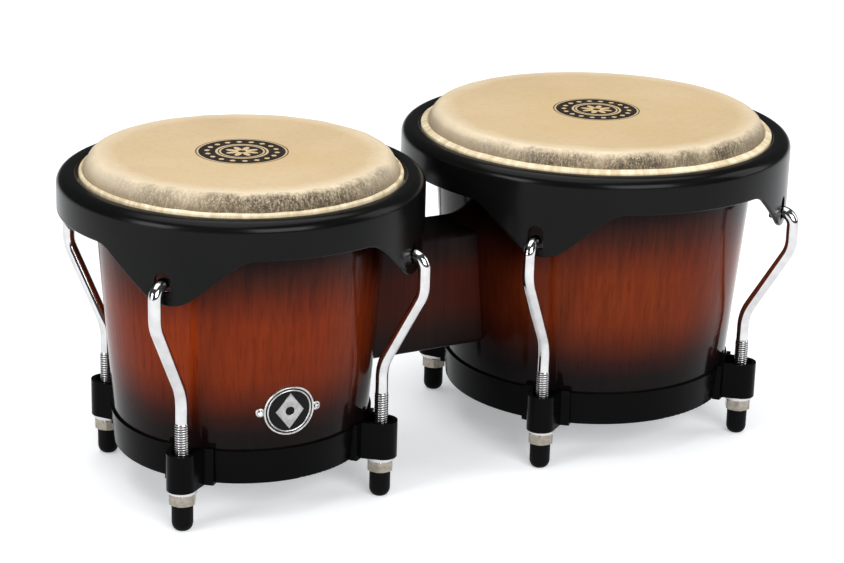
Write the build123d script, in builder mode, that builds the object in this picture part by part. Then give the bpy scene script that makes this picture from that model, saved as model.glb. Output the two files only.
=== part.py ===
from build123d import *
import math
import os
from dataclasses import dataclass

# Bongo drums: a small drum (macho) and a larger one (hembra) bolted to one centre block.
# +X runs from the macho to the hembra, +Y to the back, +Z up. The origin lies on the floor
# under the middle of the whole pair, and the drums stand on the rubber tips of their rods.

# Layout
CENTRE_DISTANCE = 210.6
HARDWARE_TURN = -2.0  # degrees that each drum's hardware is turned about its shell
LUG_ANGLES = [HARDWARE_TURN + a for a in (-135, -45, 45, 135)]

# Shells: 6 in and 7 in across the bearing edge, tapering to the foot
MACHO_TOP_RADIUS = 76.2
HEMBRA_TOP_RADIUS = 88.9
MACHO_FOOT_RADIUS = 64.6
HEMBRA_FOOT_RADIUS = 76.2
SHELL_WALL = 8.0
BEARING_EDGE_ROUND = 3.6
SHELL_MOUTH_ROUND = 1.0
SHELL_FOOT_ROUND = 0.6

# Heights
HEAD_TOP_Z = 174.5
SKIN = 1.0
SHELL_TOP_Z = HEAD_TOP_Z - SKIN
RING_FOOT_Z = 21.8
RING_HEIGHT = 18.0
RING_SHEET = 1.2
RING_GAP = 0.1
RING_LIP = 4.0
RING_ROUND = 0.9
SHELL_FOOT_Z = RING_FOOT_Z + RING_SHEET

# Lug brackets, washers and nuts on the foot ring
LUG_REACH = 12.0  # rod axis outside the shell's foot
BRACKET_FOOT_Z = 22.0
BRACKET_HEIGHT = 19.5
BRACKET_SHEET = 2.2
BRACKET_HALF_WIDTH = 7.4
BRACKET_BASE_HALF_WIDTH = 9.2
BRACKET_NOSE = 1.2  # centre of the rounded end beyond the rod axis
FLANGE_HALF_WIDTH = 13.0
WASHER_RADIUS = 7.5
WASHER_THICKNESS = 1.6
WASHER_BORE_GAP = 0.3
NUT_ACROSS_FLATS = 12.7  # takes a 1/2 in wrench
NUT_HEIGHT = 6.2
NUT_BORE_RADIUS = 3.62
NUT_GAP = 0.05
NUT_TOP_Z = BRACKET_FOOT_Z - WASHER_THICKNESS - NUT_GAP
NUT_FOOT_Z = NUT_TOP_Z - NUT_HEIGHT

# Tuning rods: 9/32 in thread below, hooked through the rim above
THREAD_RADIUS = 3.57
SHANK_RADIUS = 3.2
THREAD_TOP_Z = 57.0
THREAD_CHAMFER = 0.6
THREAD_STEP = 0.4
SHANK_OVERLAP = 2.0  # length of shank buried in the threaded part
ROD_FOOT_Z = 3.0
HOOK_Z = 132.5
HOOK_RADIUS = 6.3
HOOK_END_RADIUS = 3.6
HOOK_END_Z = 128.7
HOOK_REACH = 12.7
HOOK_MARGIN = 6.2  # straight upper run outside the rim's face
HOOK_TURN = -2.1  # degrees that the hooks sit round the rim from the rods' feet
UPPER_KNEE_Z = 113.0
LOWER_KNEE_Z = 71.5
UPPER_KNEE_RADIUS = 18.0
LOWER_KNEE_RADIUS = 26.0
HEMBRA_ROD_DROP = 2.4  # how much lower the hembra's hooks sit
TIP_RADIUS = 5.4
TIP_FLAT_RADIUS = 2.0
TIP_GAP = 0.1
TIP_BORE_GAP = 0.02
TIP_TOP_Z = NUT_FOOT_Z - TIP_GAP

# Counterhoops (rims), with four hanging ears each
RIM_MARGIN = 16.5  # rim's outer face outside the bearing edge
RIM_SHEET = 2.2
RIM_TOP_Z = 165.3
RIM_DEPTH = 9.6  # from the rim's outer face to its inner wall
RIM_ROUND = 5.5
RIM_LIP_ROUND = 1.0
RIM_UNDER_LIP_ROUND = 0.8
RIM_INNER_FOOT_Z = 157.2
SKIRT_Z = 146.3
EAR_TIP_Z = 122.0
EAR_SLOPE = 39.0  # degrees of the ear's flanks
EAR_TIP_ROUND = 20.0
EAR_BASE_ROUND = 15.0
EAR_OVERLAP = 2.0  # height of the ears buried in the skirt
SLOT_WIDTH = 8.4
SLOT_FOOT_Z = 128.6
SLOT_TOP_Z = 138.5

# Heads: flat skin, rounded shoulder and a collar down inside the flesh hoop
COLLAR_MARGIN = 1.3  # collar's outer face outside the bearing edge
SHOULDER_ROUND = 4.5
COLLAR_FOOT_Z = 150.0
TUCK_GAP = 0.3
TUCK_BAND_RADIUS_MARGIN = 5.0
TUCK_CREASE_Z = 166.2
TUCK_EDGE_Z = 164.6
TUCK_SKIN = 0.9
TUCK_ROUND = 1.0
HOOP_FOOT_Z = 151.0
HOOP_HEIGHT = 5.2
HOOP_WIDTH = 5.8
HOOP_MARGIN = 2.7

# Centre block, clamped between the shells by two through bolts
BLOCK_DEPTH = 35.0
BLOCK_FOOT_Z = 58.0
BLOCK_TOP_Z = 121.2
BLOCK_ROUND = 2.5
BOLT_HEIGHTS = (74.0, 105.0)
BOLT_RADIUS = 3.1
BOLT_HOLE_RADIUS = 3.4
BOLT_HEAD_HEIGHT = 4.4
BOLT_WASHER_RADIUS = 7.9
BOLT_WASHER_THICKNESS = 1.6
BOLT_TAIL = 3.0
BOLT_CHAMFER = 0.6
BOLT_NUT_GAP = 0.05
SADDLE_WIDTH = 26.0
SADDLE_HEIGHT = 56.0
SADDLE_THICKNESS = 3.0
SADDLE_FLAT_DROP = 12.0  # below the lower bolt, where the flat just meets the wall

# Badge on the macho's front
BADGE_ANGLE = -94.6
BADGE_Z = 60.5
BADGE_RADIUS = 13.1
BADGE_PLATE = 1.2
BADGE_RAISED = 2.0
BADGE_ENAMEL = 1.6
BADGE_EAR_REACH = 14.6
BADGE_EAR_RADIUS = 2.3
BADGE_SCREW_RADIUS = 0.9
BADGE_SCREW_SHANK = 5.0
BADGE_SCREW_HEAD_RADIUS = 1.4
BADGE_SCREW_HEAD_HEIGHT = 1.0
BADGE_SCREW_HEAD_GAP = 0.2
BADGE_SCREW_HEAD_ROUND = 0.5
BADGE_SCREW_CROSS_WIDTH = 0.45
BADGE_SCREW_CROSS_LENGTH = 1.9
BADGE_SCREW_CROSS_DEPTH = 0.5
BADGE_OVERLAP = 0.2
BADGE_GAP = 0.05
BADGE_RING_WIDTH = 1.3
LOZENGE_HALF_WIDTH = 8.0
LOZENGE_HALF_HEIGHT = 11.5
LOZENGE_HOLE_RADIUS = 2.6


@dataclass
class Drum:
    name: str
    x: float
    top_radius: float
    foot_radius: float
    block_side: int  # +1 when the block is on the +X side
    rod_drop: float

    @property
    def axis(self):
        return Axis((self.x, 0, 0), (0, 0, 1))

    @property
    def rim_radius(self):
        return self.top_radius + RIM_MARGIN

    @property
    def lug_radius(self):
        return self.foot_radius + LUG_REACH

    def shell_radius(self, z):
        """Outer radius of the tapered shell at height z."""
        rise = (z - SHELL_FOOT_Z) / (SHELL_TOP_Z - SHELL_FOOT_Z)
        return self.foot_radius + rise * (self.top_radius - self.foot_radius)


TOTAL_LENGTH = MACHO_TOP_RADIUS + HEMBRA_TOP_RADIUS + 2 * RIM_MARGIN + CENTRE_DISTANCE
MACHO_X = MACHO_TOP_RADIUS + RIM_MARGIN - TOTAL_LENGTH / 2
macho = Drum("macho", MACHO_X, MACHO_TOP_RADIUS, MACHO_FOOT_RADIUS, 1, 0.0)
HEMBRA_X = MACHO_X + CENTRE_DISTANCE
hembra = Drum("hembra", HEMBRA_X, HEMBRA_TOP_RADIUS, HEMBRA_FOOT_RADIUS, -1, HEMBRA_ROD_DROP)


def save(part, name):
    part.label = name
    export_step(part, f"parts/{name}.step")


def radial_plane(drum, angle, radius=0.0):
    """Upright plane through the drum's axis: x outwards at the angle, y up."""
    c, s = math.cos(math.radians(angle)), math.sin(math.radians(angle))
    return Plane(origin=(drum.x + radius * c, radius * s, 0), x_dir=(c, s, 0), z_dir=(s, -c, 0))


def tangent_plane(drum, angle, radius=0.0):
    """Upright plane facing outwards at the angle: x sideways, y up."""
    c, s = math.cos(math.radians(angle)), math.sin(math.radians(angle))
    return Plane(origin=(drum.x + radius * c, radius * s, 0), x_dir=(-s, c, 0), z_dir=(c, s, 0))


def level_plane(drum, angle, z):
    """Level plane at height z with its x pointing outwards at the angle."""
    c, s = math.cos(math.radians(angle)), math.sin(math.radians(angle))
    return Plane(origin=(drum.x, 0, z), x_dir=(c, s, 0), z_dir=(0, 0, 1))


def lug_points(drum, z):
    points = []
    for angle in LUG_ANGLES:
        a = math.radians(angle)
        points.append((drum.x + drum.lug_radius * math.cos(a), drum.lug_radius * math.sin(a), z))
    return points


def rod_line(drum, angle):
    """Where the rod's foot stands, the way its crank and hook point, and how far out its upper run is."""
    a, b = math.radians(angle), math.radians(angle + HOOK_TURN)
    upper_run = drum.rim_radius + HOOK_MARGIN
    foot = (drum.x + drum.lug_radius * math.cos(a), drum.lug_radius * math.sin(a))
    top = (drum.x + upper_run * math.cos(b), upper_run * math.sin(b))
    crank = math.dist(foot, top)
    return foot, ((top[0] - foot[0]) / crank, (top[1] - foot[1]) / crank), crank


def rod_plane(drum, angle):
    """Upright plane through the whole rod: x outwards from its foot, y up."""
    foot, (c, s), crank = rod_line(drum, angle)
    return Plane(origin=(*foot, 0), x_dir=(c, s, 0), z_dir=(s, -c, 0))


def slot_angle(drum, angle):
    """Angle about the drum's axis at which the rod's hook passes through the rim."""
    foot, (c, s), crank = rod_line(drum, angle)
    inwards = crank - HOOK_MARGIN - RIM_SHEET / 2
    return math.degrees(math.atan2(foot[1] + inwards * s, foot[0] + inwards * c - drum.x))


def turned(drum, outline, angle=0.0):
    """A closed outline of (radius, height) points, turned about the drum's axis."""
    with BuildPart() as solid:
        with BuildSketch(radial_plane(drum, angle)):
            with BuildLine():
                Polyline(*outline, close=True)
            make_face()
        revolve(axis=drum.axis)
    return solid.part


def cone_layer(drum, inner, outer, z0, z1):
    """A layer of the shell's outer cone, between two offsets from it."""
    return turned(drum, [
        (drum.shell_radius(z0) + inner, z0),
        (drum.shell_radius(z0) + outer, z0),
        (drum.shell_radius(z1) + outer, z1),
        (drum.shell_radius(z1) + inner, z1),
    ])


def make_shell(drum):
    with BuildPart() as shell:
        with BuildSketch(radial_plane(drum, 0)):
            with BuildLine():
                Polyline(
                    (drum.foot_radius, SHELL_FOOT_Z),
                    (drum.top_radius, SHELL_TOP_Z),
                    (drum.top_radius - SHELL_WALL, SHELL_TOP_Z),
                    (drum.foot_radius - SHELL_WALL, SHELL_FOOT_Z),
                    close=True,
                )
            make_face()
        revolve(axis=drum.axis)
        rim_edges = shell.edges().filter_by(GeomType.CIRCLE).group_by(Axis.Z)
        fillet(rim_edges[-1].sort_by(SortBy.RADIUS)[-1], BEARING_EDGE_ROUND)
        inner_edges = shell.edges().filter_by(GeomType.CIRCLE).group_by(Axis.Z)
        fillet(inner_edges[-1].sort_by(SortBy.RADIUS)[0], SHELL_MOUTH_ROUND)
        fillet(inner_edges[0], SHELL_FOOT_ROUND)
        with Locations(*[(drum.x + drum.block_side * drum.top_radius, 0, z) for z in BOLT_HEIGHTS]):
            Cylinder(BOLT_HOLE_RADIUS, drum.top_radius, rotation=(0, 90, 0), mode=Mode.SUBTRACT)
    save(shell.part, f"{drum.name}_shell")


def make_bottom_ring(drum):
    outside = RING_GAP + RING_SHEET
    top_z = RING_FOOT_Z + RING_HEIGHT
    lip_radius = drum.foot_radius - RING_LIP
    with BuildPart() as ring:
        with BuildSketch(radial_plane(drum, 0)):
            with BuildLine():
                Polyline(
                    (drum.shell_radius(RING_FOOT_Z) + outside, RING_FOOT_Z),
                    (drum.shell_radius(top_z) + outside, top_z),
                    (drum.shell_radius(top_z) + RING_GAP, top_z),
                    (drum.shell_radius(SHELL_FOOT_Z) + RING_GAP, SHELL_FOOT_Z),
                    (lip_radius, SHELL_FOOT_Z),
                    (lip_radius, RING_FOOT_Z),
                    close=True,
                )
            make_face()
        revolve(axis=drum.axis)
        foot_edges = ring.edges().filter_by(GeomType.CIRCLE).group_by(Axis.Z)[0]
        fillet(foot_edges.sort_by(SortBy.RADIUS)[-1], RING_ROUND)
    save(ring.part, f"{drum.name}_bottom_ring")


def strap_legs(start, end, start_half, end_half):
    """The plan of a bracket's two legs, filled in between them."""
    with BuildSketch() as legs:
        Polygon((start, -start_half), (end, -end_half), (end, end_half), (start, start_half), align=None)
    return legs.sketch


def make_bracket(drum, angle, number):
    """A strap bent round the rod, with a flange each side against the ring."""
    face = drum.shell_radius(RING_FOOT_Z) + RING_GAP + RING_SHEET
    nose = drum.lug_radius + BRACKET_NOSE
    inner_half = BRACKET_HALF_WIDTH - BRACKET_SHEET
    leg_start = face - BRACKET_SHEET
    top_z = BRACKET_FOOT_Z + BRACKET_HEIGHT
    flange_radius = drum.shell_radius(top_z) + RING_GAP + RING_SHEET + BRACKET_SHEET
    with BuildPart() as bracket:
        with BuildSketch(level_plane(drum, angle, BRACKET_FOOT_Z)):
            Circle(flange_radius)
            with Locations((flange_radius, 0)):
                Rectangle(2 * BRACKET_HALF_WIDTH, 2 * FLANGE_HALF_WIDTH, mode=Mode.INTERSECT)
            with Locations((nose, 0)):
                Circle(BRACKET_HALF_WIDTH)
            add(strap_legs(leg_start, nose, BRACKET_BASE_HALF_WIDTH, BRACKET_HALF_WIDTH))
            with Locations((nose, 0)):
                Circle(inner_half, mode=Mode.SUBTRACT)
            inner_base = BRACKET_BASE_HALF_WIDTH - BRACKET_SHEET
            add(strap_legs(leg_start, nose, inner_base, inner_half), mode=Mode.SUBTRACT)
        extrude(amount=BRACKET_HEIGHT)
        with Locations((drum.x, 0, (RING_FOOT_Z + top_z) / 2)):
            Cone(
                drum.shell_radius(RING_FOOT_Z) + RING_GAP + RING_SHEET,
                drum.shell_radius(top_z) + RING_GAP + RING_SHEET,
                top_z - RING_FOOT_Z,
                mode=Mode.SUBTRACT,
            )
    save(bracket.part, f"{drum.name}_lug_bracket_{number}")


def make_lug_washers(drum):
    with BuildPart() as washers:
        with BuildSketch(Plane.XY.offset(BRACKET_FOOT_Z - WASHER_THICKNESS)):
            with Locations(*[point[:2] for point in lug_points(drum, 0)]):
                Circle(WASHER_RADIUS)
                Circle(THREAD_RADIUS + WASHER_BORE_GAP, mode=Mode.SUBTRACT)
        extrude(amount=WASHER_THICKNESS)
    save(washers.part, f"{drum.name}_lug_washers")


def hex_prism_limits(half_flats, foot, height):
    """Outline that rounds off a hexagon's corners at both ends."""
    corner = half_flats / math.cos(math.radians(30))
    drop = (corner - half_flats) * math.tan(math.radians(30))
    return [
        (0, foot),
        (half_flats, foot),
        (corner, foot + drop),
        (corner, foot + height - drop),
        (half_flats, foot + height),
        (0, foot + height),
    ]


def make_nut(drum, angle, number):
    centre = radial_plane(drum, angle, drum.lug_radius)
    point = lug_points(drum, NUT_FOOT_Z)[number - 1]
    with BuildPart() as nut:
        with BuildSketch(Plane.XY.offset(NUT_FOOT_Z)):
            with Locations(point[:2]):
                RegularPolygon(NUT_ACROSS_FLATS / 2, 6, major_radius=False)
                Circle(NUT_BORE_RADIUS, mode=Mode.SUBTRACT)
        extrude(amount=NUT_HEIGHT)
        with BuildSketch(centre):
            with BuildLine():
                Polyline(*hex_prism_limits(NUT_ACROSS_FLATS / 2, NUT_FOOT_Z, NUT_HEIGHT), close=True)
            make_face()
        revolve(axis=Axis(point, (0, 0, 1)), mode=Mode.INTERSECT)
    save(nut.part, f"{drum.name}_tuning_nut_{number}")


def make_rod(drum, angle, number):
    """Threaded foot, shank cranked outwards and a hook that turns in through the rim's slot."""
    crank = rod_line(drum, angle)[2]
    hook_end = crank - HOOK_REACH
    thread_top = THREAD_TOP_Z - drum.rod_drop
    hook_z = HOOK_Z - drum.rod_drop
    with BuildPart() as rod:
        with BuildLine(rod_plane(drum, angle)) as path:
            FilletPolyline(
                (0, thread_top - SHANK_OVERLAP),
                (0, LOWER_KNEE_Z - drum.rod_drop),
                (crank, UPPER_KNEE_Z - drum.rod_drop),
                (crank, hook_z),
                (hook_end, hook_z),
                (hook_end, HOOK_END_Z - drum.rod_drop),
                radius=[LOWER_KNEE_RADIUS, UPPER_KNEE_RADIUS, HOOK_RADIUS, HOOK_END_RADIUS],
            )
        route = path.wires()[0]
        with BuildSketch(Plane(origin=route @ 0, z_dir=route % 0)):
            Circle(SHANK_RADIUS)
        sweep(path=route)
        with BuildSketch(radial_plane(drum, angle, drum.lug_radius)):
            with BuildLine():
                Polyline(
                    (0, ROD_FOOT_Z),
                    (THREAD_RADIUS - THREAD_CHAMFER, ROD_FOOT_Z),
                    (THREAD_RADIUS, ROD_FOOT_Z + THREAD_CHAMFER),
                    (THREAD_RADIUS, thread_top - THREAD_STEP),
                    (SHANK_RADIUS, thread_top),
                    (0, thread_top),
                    close=True,
                )
            make_face()
        revolve(axis=Axis(lug_points(drum, 0)[number - 1], (0, 0, 1)))
    save(rod.part, f"{drum.name}_tuning_rod_{number}")


def make_tip(drum, angle, number):
    dome = math.sqrt(TIP_RADIUS**2 - TIP_FLAT_RADIUS**2)
    half = math.radians(45)
    bore = THREAD_RADIUS + TIP_BORE_GAP
    with BuildPart() as tip:
        with BuildSketch(radial_plane(drum, angle, drum.lug_radius)):
            with BuildLine():
                ThreePointArc(
                    (TIP_FLAT_RADIUS, 0),
                    (TIP_RADIUS * math.cos(half), dome - TIP_RADIUS * math.sin(half)),
                    (TIP_RADIUS, dome),
                )
                Polyline(
                    (TIP_RADIUS, dome),
                    (TIP_RADIUS, TIP_TOP_Z),
                    (bore, TIP_TOP_Z),
                    (bore, ROD_FOOT_Z),
                    (0, ROD_FOOT_Z),
                    (0, 0),
                    (TIP_FLAT_RADIUS, 0),
                )
            make_face()
        revolve(axis=Axis(lug_points(drum, 0)[number - 1], (0, 0, 1)))
    save(tip.part, f"{drum.name}_rubber_tip_{number}")


def ear_prisms(drum):
    """Blocks in the shape of the ears, seen square on, through the skirt."""
    apex_z = EAR_TIP_Z - EAR_TIP_ROUND * (1 / math.cos(math.radians(EAR_SLOPE)) - 1)
    base_half = (SKIRT_Z - apex_z) / math.tan(math.radians(EAR_SLOPE))
    shoulder_half = base_half + EAR_BASE_ROUND
    inside = drum.rim_radius - 2 * RIM_MARGIN
    with BuildPart() as prisms:
        for angle in LUG_ANGLES:
            with BuildSketch(tangent_plane(drum, angle, inside)):
                with BuildLine():
                    FilletPolyline(
                        (-shoulder_half, SKIRT_Z),
                        (-base_half, SKIRT_Z),
                        (0, apex_z),
                        (base_half, SKIRT_Z),
                        (shoulder_half, SKIRT_Z),
                        radius=[EAR_BASE_ROUND, EAR_TIP_ROUND, EAR_BASE_ROUND],
                    )
                    Polyline(
                        (shoulder_half, SKIRT_Z),
                        (shoulder_half, SKIRT_Z + EAR_OVERLAP),
                        (-shoulder_half, SKIRT_Z + EAR_OVERLAP),
                        (-shoulder_half, SKIRT_Z),
                    )
                make_face()
            extrude(amount=3 * RIM_MARGIN)
    return prisms.part


def make_rim(drum):
    outer = drum.rim_radius
    inner = outer - RIM_DEPTH
    skirt = turned(drum, [
        (outer - RIM_SHEET, EAR_TIP_Z - EAR_OVERLAP),
        (outer, EAR_TIP_Z - EAR_OVERLAP),
        (outer, SKIRT_Z + EAR_OVERLAP / 2),
        (outer - RIM_SHEET, SKIRT_Z + EAR_OVERLAP / 2),
    ])
    prisms = ear_prisms(drum)
    with BuildPart() as ears:
        add(skirt)
        add(prisms, mode=Mode.INTERSECT)
    with BuildPart() as rim:
        with BuildSketch(radial_plane(drum, 0)):
            with BuildLine():
                FilletPolyline(
                    (inner, RIM_INNER_FOOT_Z),
                    (inner, RIM_TOP_Z),
                    (outer, RIM_TOP_Z),
                    (outer, SKIRT_Z),
                    radius=[RIM_LIP_ROUND, RIM_ROUND],
                )
                Line((outer, SKIRT_Z), (outer - RIM_SHEET, SKIRT_Z))
                FilletPolyline(
                    (outer - RIM_SHEET, SKIRT_Z),
                    (outer - RIM_SHEET, RIM_TOP_Z - RIM_SHEET),
                    (inner + RIM_SHEET, RIM_TOP_Z - RIM_SHEET),
                    (inner + RIM_SHEET, RIM_INNER_FOOT_Z),
                    radius=[RIM_ROUND - RIM_SHEET, RIM_UNDER_LIP_ROUND],
                )
                Line((inner + RIM_SHEET, RIM_INNER_FOOT_Z), (inner, RIM_INNER_FOOT_Z))
            make_face()
        revolve(axis=drum.axis)
        add(ears.part)
        slot_foot = SLOT_FOOT_Z - drum.rod_drop
        slot_centre = SLOT_TOP_Z - SLOT_WIDTH / 2
        for angle in LUG_ANGLES:
            with BuildSketch(tangent_plane(drum, slot_angle(drum, angle), outer - 2 * RIM_SHEET)):
                with Locations((0, (slot_foot + slot_centre) / 2)):
                    Rectangle(SLOT_WIDTH, slot_centre - slot_foot)
                with Locations((0, slot_centre)):
                    Circle(SLOT_WIDTH / 2)
            extrude(amount=3 * RIM_SHEET, mode=Mode.SUBTRACT)
    save(rim.part, f"{drum.name}_rim")


def make_head(drum):
    outer = drum.top_radius + COLLAR_MARGIN
    with BuildPart() as head:
        with BuildSketch(radial_plane(drum, 0)):
            with BuildLine():
                FilletPolyline(
                    (0, HEAD_TOP_Z),
                    (outer, HEAD_TOP_Z),
                    (outer, COLLAR_FOOT_Z),
                    radius=[SHOULDER_ROUND],
                )
                Line((outer, COLLAR_FOOT_Z), (outer - SKIN, COLLAR_FOOT_Z))
                FilletPolyline(
                    (outer - SKIN, COLLAR_FOOT_Z),
                    (outer - SKIN, HEAD_TOP_Z - SKIN),
                    (0, HEAD_TOP_Z - SKIN),
                    radius=[SHOULDER_ROUND - SKIN],
                )
                Line((0, HEAD_TOP_Z - SKIN), (0, HEAD_TOP_Z))
            make_face()
        revolve(axis=drum.axis)
    save(head.part, f"{drum.name}_head")


def make_hoop_and_tuck(drum):
    """Steel flesh hoop, and the skin wrapped over it with its cut edge standing up."""
    hoop_inner = drum.top_radius + HOOP_MARGIN
    hoop_outer = hoop_inner + HOOP_WIDTH
    hoop_top = HOOP_FOOT_Z + HOOP_HEIGHT
    wall = drum.top_radius + COLLAR_MARGIN + TUCK_GAP
    band = drum.top_radius + TUCK_BAND_RADIUS_MARGIN
    hoop = turned(drum, [
        (hoop_inner, HOOP_FOOT_Z),
        (hoop_outer, HOOP_FOOT_Z),
        (hoop_outer, hoop_top),
        (hoop_inner, hoop_top),
    ])
    with BuildPart() as tuck:
        add(turned(drum, [
            (wall, HOOP_FOOT_Z - TUCK_SKIN),
            (hoop_outer + TUCK_SKIN, HOOP_FOOT_Z - TUCK_SKIN),
            (hoop_outer + TUCK_SKIN, hoop_top + TUCK_SKIN),
            (band, hoop_top + TUCK_SKIN),
            (band, TUCK_EDGE_Z),
            (wall, TUCK_CREASE_Z),
        ]))
        top_edges = tuck.edges().filter_by(GeomType.CIRCLE).group_by(Axis.Z)
        fillet(top_edges[-2], TUCK_ROUND)
        add(hoop, mode=Mode.SUBTRACT)
    save(hoop, f"{drum.name}_flesh_hoop")
    save(tuck.part, f"{drum.name}_head_tuck")


def inner_wall_x(drum, z):
    """Where the shell's inner wall meets the XZ plane on the block's side."""
    return drum.x + drum.block_side * (drum.shell_radius(z) - SHELL_WALL)


def saddle_face_x(drum):
    """Flat face of the saddle inside the shell, where the bolts' washers sit."""
    return inner_wall_x(drum, BOLT_HEIGHTS[0] - SADDLE_FLAT_DROP) - drum.block_side * SADDLE_THICKNESS


def make_centre_block():
    with BuildPart() as block:
        with Locations(((macho.x + hembra.x) / 2, 0, (BLOCK_FOOT_Z + BLOCK_TOP_Z) / 2)):
            Box(CENTRE_DISTANCE, BLOCK_DEPTH, BLOCK_TOP_Z - BLOCK_FOOT_Z)
        fillet(block.edges().filter_by(Axis.X), BLOCK_ROUND)
        for drum in (macho, hembra):
            with Locations((drum.x, 0, (SHELL_FOOT_Z + SHELL_TOP_Z) / 2)):
                Cone(
                    drum.foot_radius + RING_GAP,
                    drum.top_radius + RING_GAP,
                    SHELL_TOP_Z - SHELL_FOOT_Z,
                    mode=Mode.SUBTRACT,
                )
        with Locations(*[((macho.x + hembra.x) / 2, 0, z) for z in BOLT_HEIGHTS]):
            Cylinder(BOLT_HOLE_RADIUS, CENTRE_DISTANCE, rotation=(0, 90, 0), mode=Mode.SUBTRACT)
    save(block.part, "centre_block")


def make_saddle(drum):
    """Plate inside the shell with one side shaped to its wall and one side flat."""
    flat_x = saddle_face_x(drum)
    reach = drum.top_radius
    with BuildPart() as saddle:
        with Locations((flat_x + drum.block_side * reach / 2, 0, (BLOCK_FOOT_Z + BLOCK_TOP_Z) / 2)):
            Box(reach, SADDLE_WIDTH, SADDLE_HEIGHT)
        with Locations((drum.x, 0, (SHELL_FOOT_Z + SHELL_TOP_Z) / 2)):
            Cone(
                drum.foot_radius - SHELL_WALL - RING_GAP,
                drum.top_radius - SHELL_WALL - RING_GAP,
                SHELL_TOP_Z - SHELL_FOOT_Z,
                mode=Mode.INTERSECT,
            )
        with Locations(*[(flat_x, 0, z) for z in BOLT_HEIGHTS]):
            Cylinder(BOLT_HOLE_RADIUS, reach, rotation=(0, 90, 0), mode=Mode.SUBTRACT)
    save(saddle.part, f"{drum.name}_bolt_saddle")


def make_block_bolt(z, name):
    """Hexagon bolt with its head inside the macho and its end inside the hembra."""
    head_x = saddle_face_x(macho) - BOLT_WASHER_THICKNESS
    end_x = saddle_face_x(hembra) + BOLT_WASHER_THICKNESS + NUT_HEIGHT + BOLT_TAIL
    with BuildPart() as bolt:
        with BuildSketch(Plane.YZ.offset(head_x - BOLT_HEAD_HEIGHT)):
            with Locations((0, z)):
                RegularPolygon(NUT_ACROSS_FLATS / 2, 6, major_radius=False)
        extrude(amount=BOLT_HEAD_HEIGHT)
        with BuildSketch(Plane.YZ.offset(head_x)):
            with Locations((0, z)):
                Circle(BOLT_RADIUS)
        extrude(amount=end_x - head_x)
        tail_edges = bolt.edges().filter_by(GeomType.CIRCLE).group_by(Axis.X)[-1]
        chamfer(tail_edges, BOLT_CHAMFER)
    save(bolt.part, name)


def make_block_bolt_washers():
    with BuildPart() as washers:
        for drum in (macho, hembra):
            face = saddle_face_x(drum)
            low = min(face, face - drum.block_side * BOLT_WASHER_THICKNESS)
            with BuildSketch(Plane.YZ.offset(low)):
                with Locations(*[(0, z) for z in BOLT_HEIGHTS]):
                    Circle(BOLT_WASHER_RADIUS)
                    Circle(BOLT_HOLE_RADIUS, mode=Mode.SUBTRACT)
            extrude(amount=BOLT_WASHER_THICKNESS)
    save(washers.part, "block_bolt_washers")


def make_block_bolt_nuts():
    with BuildPart() as nuts:
        with BuildSketch(Plane.YZ.offset(saddle_face_x(hembra) + BOLT_WASHER_THICKNESS)):
            with Locations(*[(0, z) for z in BOLT_HEIGHTS]):
                RegularPolygon(NUT_ACROSS_FLATS / 2, 6, major_radius=False)
                Circle(BOLT_RADIUS + BOLT_NUT_GAP, mode=Mode.SUBTRACT)
        extrude(amount=NUT_HEIGHT)
    save(nuts.part, "block_bolt_nuts")


def badge_screw_angles():
    spread = math.degrees(math.asin(BADGE_EAR_REACH / macho.shell_radius(BADGE_Z)))
    return (BADGE_ANGLE - spread, BADGE_ANGLE + spread)


def make_badge():
    """Round plate that hugs the macho's shell, a rim and a plain lozenge standing on it."""
    z0 = BADGE_Z - 2 * BADGE_RADIUS
    z1 = BADGE_Z + 2 * BADGE_RADIUS
    plane = tangent_plane(macho, BADGE_ANGLE, MACHO_FOOT_RADIUS - SHELL_WALL)
    plate_layer = cone_layer(macho, BADGE_GAP, BADGE_PLATE, z0, z1)
    raised_layer = cone_layer(macho, BADGE_PLATE - BADGE_OVERLAP, BADGE_RAISED, z0, z1)
    enamel_layer = cone_layer(macho, BADGE_PLATE, BADGE_ENAMEL, z0, z1)
    ear_places = [(-BADGE_EAR_REACH, BADGE_Z), (BADGE_EAR_REACH, BADGE_Z)]
    lozenge = [
        (LOZENGE_HALF_WIDTH, 0),
        (0, LOZENGE_HALF_HEIGHT),
        (-LOZENGE_HALF_WIDTH, 0),
        (0, -LOZENGE_HALF_HEIGHT),
    ]
    depth = 3 * SHELL_WALL
    with BuildPart() as raised:
        with BuildSketch(plane):
            with Locations((0, BADGE_Z)):
                Circle(BADGE_RADIUS)
                Circle(BADGE_RADIUS - BADGE_RING_WIDTH, mode=Mode.SUBTRACT)
            with Locations((0, BADGE_Z)):
                Polygon(*lozenge, align=None)
                Circle(LOZENGE_HOLE_RADIUS, mode=Mode.SUBTRACT)
        extrude(amount=depth)
        add(raised_layer, mode=Mode.INTERSECT)
    with BuildPart() as badge:
        with BuildSketch(plane):
            with Locations((0, BADGE_Z)):
                Circle(BADGE_RADIUS)
            with Locations(*ear_places):
                Circle(BADGE_EAR_RADIUS)
        extrude(amount=depth)
        add(plate_layer, mode=Mode.INTERSECT)
        add(raised.part)
        for angle in badge_screw_angles():
            with BuildSketch(tangent_plane(macho, angle, MACHO_FOOT_RADIUS - SHELL_WALL)):
                with Locations((0, BADGE_Z)):
                    Circle(BADGE_SCREW_RADIUS + BADGE_GAP)
            extrude(amount=depth, mode=Mode.SUBTRACT)
    with BuildPart() as enamel:
        with BuildSketch(plane):
            with Locations((0, BADGE_Z)):
                Circle(BADGE_RADIUS - BADGE_RING_WIDTH - BADGE_GAP)
        extrude(amount=depth)
        add(enamel_layer, mode=Mode.INTERSECT)
        add(badge.part, mode=Mode.SUBTRACT)
    save(badge.part, "badge_plate")
    save(enamel.part, "badge_enamel")


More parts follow.
